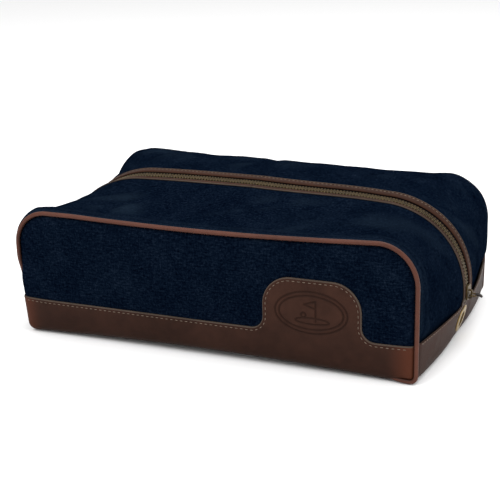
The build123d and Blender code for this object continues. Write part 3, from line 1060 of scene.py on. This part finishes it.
for side, sign in sides.items():
    line, exposed = panel_line(side)
    flat = line[:, [0, 2]]
    normal = inwards(flat)
    centre = line.copy()
    upper = smoothstep((line[:, 2] - 30) / 30)
    set_in = upper if side == "back" else upper * smoothstep((-120 - line[:, 0]) / 40)
    aside = (1 - exposed) * smoothstep((line[:, 2] - 4) / 8)
    centre[:, [0, 2]] += normal * (0.9 * (1 - exposed) - 0.7 * aside + 1.1 * set_in)[:, None]
    centre[:, 1] -= sign * (0.4 + 2.0 * (1 - exposed) + 2.3 * aside)
    sway = np.array([wander_noise(x * 0.03, z * 0.03, sign) for x, _, z in line])
    centre[:, 1] += 0.3 * sway
    piping, spokes = tube_along(f"piping_{side}", centre, ROUND + 0.1 * sway, 16)
    face = np.stack([-0.5 * normal[:, 0], np.full(len(line), 0.85 * sign), -0.5 * normal[:, 1]], 1)
    facing = (spokes * unit(face)[:, None]).sum(2)
    # painted shade where the piping turns away into the seam groove
    keep_values(piping, "groove_shade", smoothstep((0.85 - facing) / 0.8).ravel())
    stand(piping, "piping_leather", f"{side}_piping", f"{side}_piping_cord")

    # Where the trim and the denim panel end: just inside the piping, or rolled over it.
    bulge = (1 - exposed) * humps(line[:, 2], 52, 16)
    edge = flat + normal * (-1.4 + 3.3 * exposed + 0.9 * set_in - 1.2 * bulge)[:, None]
    loop = resample(edge, 1.6, True)
    places = np.arange(len(loop)) * len(edge) / len(loop)
    roll_at = np.interp(places, np.arange(len(edge)), 1 - exposed, period=len(edge))

    def surface(points, height):
        """Points of the panel in space, height outside its denim's face."""
        away = distance_to(points, loop, True)
        hidden = roll_at[nearest_of(points, loop)]
        uneven = np.array([wander_noise(x * 0.014, z * 0.02, 9.0 + sign) for x, z in points])
        puff = PUFF * (1 - np.exp(-away / 20)) + 0.9 * uneven * (1 - np.exp(-away / 25))
        roll = (3.0 + 1.2 * hidden) * np.exp(-away / (1.5 + 0.9 * hidden))
        y = sign * (DEPTH + PANEL_FACE + puff - roll + height)
        return np.stack([points[:, 0], y, points[:, 1]], 1)

    def sheet(name, net, front, back, **options):
        """A sheet of the panel from a net, its faces at two heights."""
        return solid_sheet(name, *net, surface(net[0], front), surface(net[0], back), **options)

    panel = sheet(f"panel_{side}", triangulate(loop, 5.0), 0.0, -DENIM)
    stand(panel, "denim", f"{side}_panel")
    net = triangulate(resample(loop + inwards(loop) * 2.6, 2.5, True), 8.0)
    lining = sheet(f"panel_lining_{side}", net, -DENIM - 0.5, -DENIM - 0.9, cloth=False)
    stand(lining, "lining", f"lining_{side}")

    # The leather trim: the part of the same outline below the trim's upper edge.
    top = resample(tab_top(side), 1.2, False)
    top = top[inside(top, loop)]
    first, last = nearest_of((top[0], top[-1]), loop)
    around_a = np.roll(loop, -last, axis=0)[: (first - last) % len(loop) + 1]
    around_b = np.roll(loop[::-1], last + 1, axis=0)[: (last - first) % len(loop) + 1]
    under = around_a if around_a[:, 1].mean() < around_b[:, 1].mean() else around_b
    trim_loop = resample(np.concatenate([top, under[1:-1]]), 1.2, True)
    fine = None
    if side == "front":
        fine = (EMBLEM_CENTRE - EMBLEM_REACH, EMBLEM_CENTRE + EMBLEM_REACH, EMBLEM_NET)
    net = triangulate(trim_loop, 4.0, fine)
    points = net[0]
    from_edge = distance_to(points, top, False)
    height = LEATHER * (1 - 0.45 * humps(from_edge, 0, 0.45))
    height += 0.12 * humps(from_edge, 1.3, 0.7) - 0.35 * humps(from_edge, STITCH_IN, 0.55)
    stamp_and_shade = pressed_emblem(points) if side == "front" else np.zeros(len(points))
    trim = sheet(f"trim_{side}", net, height - EMBLEM_DEPTH * stamp_and_shade, 0.05)
    stand(trim, "leather", f"{side}_trim")
    distance_of = np.tile(from_edge, 2)
    edge_faces(trim, lambda face: distance_of[list(face.vertices)].max() < 0.9)
    # painted highlight on the lower corners of the trim
    corner_highlight = smoothstep((np.abs(points[:, 0]) - (HALF - CORNER)) / 20)
    keep_values(trim, "corner_highlight", np.tile(corner_highlight, 2))
    # how deeply the emblem is pressed, also read by the material for its own darkening and its
    # painted shade
    keep_values(trim, "stamp_and_shade", np.tile(stamp_and_shade, 2))
    seam = resample(top[2:-2], 1.0, False)
    drop = inwards(np.concatenate([seam, [(300, -300), (-300, -300)]]))[: len(seam)]
    stitch_line = surface(seam + drop * STITCH_IN, LEATHER - 0.22)
    stitch_normal = np.tile([0.0, float(sign), 0.0], (len(seam), 1))
    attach(sew(f"trim_stitches_{side}", stitch_line, stitch_normal, *TRIM_SEAM), "root")

# ---- leather ends and base

LAST_CURL = MIDDLE - 3  # rows from the middle to where a foot meets the flat base
HOLE_RADIUS = 8.6  # of the leather's hole, hidden under the eyelet's flange
LINING_HOLE = 12  # radius of the lining's hole
END_THICKNESS = 1.7


def eyelet_centre(end):
    """Middle of an end's vent eyelet."""
    return sum(cad_box(f"vent_eyelet_{end}")) / 2


def end_band(end):
    """The leather round the foot of one end, with a round hole for the eyelet."""
    sign = ends[end]
    rows = MIDDLE + sign * np.arange(BAND_ROW - 1, LAST_CURL + 1)
    flank = np.linspace(-DEPTH + 0.8, -20, 34)
    depths = np.concatenate([flank, np.linspace(-18.5, 18.5, 26), -flank[::-1]])
    grid, normal = skin(depths, rows)
    grid[0] = grid[1] + (grid[0] - grid[1]) * 0.35
    hole = eyelet_centre(end)
    away = np.hypot(grid[..., 1] - hole[1], grid[..., 2] - hole[2])
    proud = 1.45 - 1.35 * smoothstep((27 - away) / 12)
    from_seam = DEPTH - np.abs(grid[..., 1])
    pinch = np.where(grid[..., 1] < 0, 4.0, 1.8) if sign < 0 else 1.8
    proud = (proud - 2.6 * np.exp(-from_seam / pinch)) * (1 - smoothstep((9 - grid[..., 2]) / 8))
    proud[0] -= 0.35
    points = grid + normal * proud[..., None]
    points[..., 2] = np.maximum(points[..., 2], 0.2)
    count, size = points.shape[:2]
    flat = points.reshape(-1, 3)
    away = away.reshape(-1)
    upright = np.abs(flat[:, 0]) > HALF - 12  # not the part under the bag
    gone = (away <= HOLE_RADIUS - 2.0) & upright
    snap = (away < HOLE_RADIUS + 0.9) & upright & ~gone
    spokes = flat[snap, 1:] - hole[1:]
    flat[snap, 1:] = hole[1:] + HOLE_RADIUS * spokes / np.linalg.norm(spokes, axis=1)[:, None]
    kept = [face for face in net_faces(count, size) if not gone[list(face)].any()]
    obj = new_object(f"end_leather_{end}", flat, [face[::-sign] for face in kept])

    def drop_loose(bm):
        loose = [vertex for vertex in bm.verts if not vertex.link_faces]
        bmesh.ops.delete(bm, geom=loose, context="VERTS")

    edit_mesh(obj, drop_loose)
    thick = obj.modifiers.new("thickness", "SOLIDIFY")
    thick.thickness = END_THICKNESS * MM
    thick.offset = -1
    thick.material_offset_rim = 1
    paint(obj, "leather")
    obj.data.materials.append(MATERIALS["leather_edge"])
    apply_modifiers(obj)
    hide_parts(f"end_band_{end}")
    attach(obj, "root")
    line = (points[1] + (points[2] - points[1]) * 0.25)[2:-2]
    normal = normal[1][2:-2]
    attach(sew(f"end_stitches_{end}", line + normal * 0.1, normal, *END_SEAM), "root")


def apply_modifiers(obj):
    """Turns an object's modifiers into plain mesh."""
    graph = bpy.context.evaluated_depsgraph_get()
    mesh = bpy.data.meshes.new_from_object(obj.evaluated_get(graph))
    obj.modifiers.clear()
    obj.data = mesh


def end_lining(end):
    """The lining behind the leather of one end."""
    rows = MIDDLE + ends[end] * np.arange(BAND_ROW, LAST_CURL + 1)
    across = np.linspace(-DEPTH + 4, DEPTH - 4, 50)
    grid, normal = skin(np.concatenate([across, across[::-1]]), rows)
    heights = np.repeat([-2.3, -2.7], len(across))
    obj = loop_tube(f"end_lining_{end}", grid + normal * heights[None, :, None])
    middle = Vector(eyelet_centre(end) * MM)

    def cut_hole(bm):
        gone = [f for f in bm.faces if (f.calc_center_median() - middle).length < LINING_HOLE * MM]
        bmesh.ops.delete(bm, geom=gone, context="FACES")
        bmesh.ops.bridge_loops(bm, edges=[edge for edge in bm.edges if edge.is_boundary])

    edit_mesh(obj, cut_hole)
    stand(obj, "lining", f"lining_end_{end}")


for end in ends:
    end_band(end)
    end_lining(end)


def floor_sheet(name, inset, low, high, material, node):
    """A flat layer of the base, inset from where the feet of the bag meet the floor."""
    depths = np.linspace(-DEPTH + 1.2 + inset, DEPTH - 1.2 - inset, 50)
    grid, _ = skin(depths)
    left = grid[MIDDLE - LAST_CURL, :, 0] + inset
    right = grid[MIDDLE + LAST_CURL, :, 0] - inset
    steps = np.linspace(0, 1, 74)[:, None]
    x = left + (right - left) * steps
    flat = settle(np.stack([x.ravel(), np.tile(depths, len(steps)), np.zeros(x.size)], 1))
    flat[:, 2] += 1.3 * smoothstep((np.abs(flat[:, 1]) - (DEPTH - 9)) / 8)
    faces = net_faces(len(steps), len(depths))
    bottom, top = flat + [0, 0, low], flat + [0, 0, high]
    stand(solid_sheet(name, flat, faces, bottom, top, cloth=False), material, node)


floor_sheet("base_leather", 0.0, 0.25, 1.75, "leather", "base_panel")
floor_sheet("base_stiffener", 4.0, 2.05, 4.05, "board", "base_board")
floor_sheet("base_lining", 4.0, 4.3, 4.7, "lining", "lining_base")

# ---- pull tab


def pull_tab():
    """The zip's pull: a narrow strip of leather folded round the wire loop, curling down."""
    low, high = cad_box("pull_tab")
    middle = (low + high) / 2
    steps = np.linspace(0, 1, 26)
    reach = high[0] - low[0] - 1.2
    x = low[0] + 0.6 + reach * steps
    z = middle[2] + 0.25 + 0.7 * np.sin(steps * 2.6) - 1.9 * steps**2
    half = 2.1 - 0.5 * smoothstep((steps - 0.75) / 0.25)
    thick = 0.95 - 0.45 * steps
    slope = unit(np.stack([np.gradient(x), np.gradient(z)], 1))
    section = [
        (-1, -0.7), (-1, 0.7), (-0.8, 1), (0.8, 1), (1, 0.7), (1, -0.7), (0.8, -1), (-0.8, -1),
    ]
    rings = np.array([
        [(cx - s[1] * t * h, middle[1] + w * a, cz + s[0] * t * h) for a, h in section]
        for cx, cz, w, t, s in zip(x, z, half, thick, slope)
    ])
    obj = loop_tube("pull_tab_leather", rings)
    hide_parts("pull_tab")
    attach(paint(obj, "pull_leather"), "pull")


pull_tab()

# ---- remaining CAD nodes

SLOTS = {row["node"]: row["material_slot"] for row in frame["record"]["subparts"]}
for name, obj in frame["nodes"].items():
    obj.data.materials.clear()
    obj.data.materials.append(MATERIALS[SLOTS[name]])

# ---- camera, lights, floor


def look(obj, position, target, roll):
    """Points a camera or light at a target, rolled about its axis by degrees."""
    forward = (Vector(target) - Vector(position)).normalized()
    obj.matrix_world = (
        Matrix.Translation(position)
        @ forward.to_track_quat("-Z", "Y").to_matrix().to_4x4()
        @ Matrix.Rotation(math.radians(roll), 4, "Z")
    )


AZIMUTH, ELEVATION, ROLL = 23.105, 17.19, -1.118  # from a fit to the outlines
DISTANCE = 1.1307
TARGET = Vector((-0.0026, 0, 0.060))
WIDTH = 500  # pixels, as are the next three
FOCAL, SHIFT_X, SHIFT_Y = 1231.2, -6.46, -0.87
a, e = math.radians(AZIMUTH), math.radians(ELEVATION)
back = Vector((math.sin(a) * math.cos(e), -math.cos(a) * math.cos(e), math.sin(e)))
camera_data = bpy.data.cameras.new("camera")
camera_data.sensor_width = 36
camera_data.lens = FOCAL / WIDTH * camera_data.sensor_width
camera_data.shift_x = SHIFT_X / WIDTH
camera_data.shift_y = SHIFT_Y / WIDTH
camera_data.clip_end = 20
camera = add_object("camera", camera_data)
look(camera, TARGET + back * DISTANCE, TARGET, ROLL)
bpy.context.scene.camera = camera


def area_light(name, position, size, energy):
    """A soft square light aimed at the bag."""
    data = bpy.data.lights.new(name, "AREA")
    data.size = size
    data.energy = energy
    look(add_object(name, data), Vector(position), Vector((0, 0, 0.05)), 0)


area_light("key_light", (-0.7, -1.3, 1.6), 1.2, 22)
area_light("top_light", (0.3, 0.5, 1.9), 1.6, 26)
area_light("side_light", (1.7, -0.5, 0.9), 0.9, 10)

world = bpy.data.worlds.new("studio")
world.use_nodes = True
sky = world.node_tree.nodes["Background"].inputs
sky["Color"].default_value = (1, 1, 1, 1)
sky["Strength"].default_value = 0.85
bpy.context.scene.world = world
bpy.context.scene.view_settings.view_transform = "Standard"

FLOOR = 6.0  # half its side, in metres
corners = [(-FLOOR, -FLOOR, 0), (FLOOR, -FLOOR, 0), (FLOOR, FLOOR, 0), (-FLOOR, FLOOR, 0)]
floor_mesh = bpy.data.meshes.new("floor")
floor_mesh.from_pydata(corners, [], [(0, 1, 2, 3)])
floor = add_object("floor", floor_mesh)
pale = Nodes("floor")
pale.feed([pale.shader.inputs[name] for name in ("Base Color", "Roughness")], ((0.96,) * 3, 0.9))
floor_mesh.materials.append(pale.material)
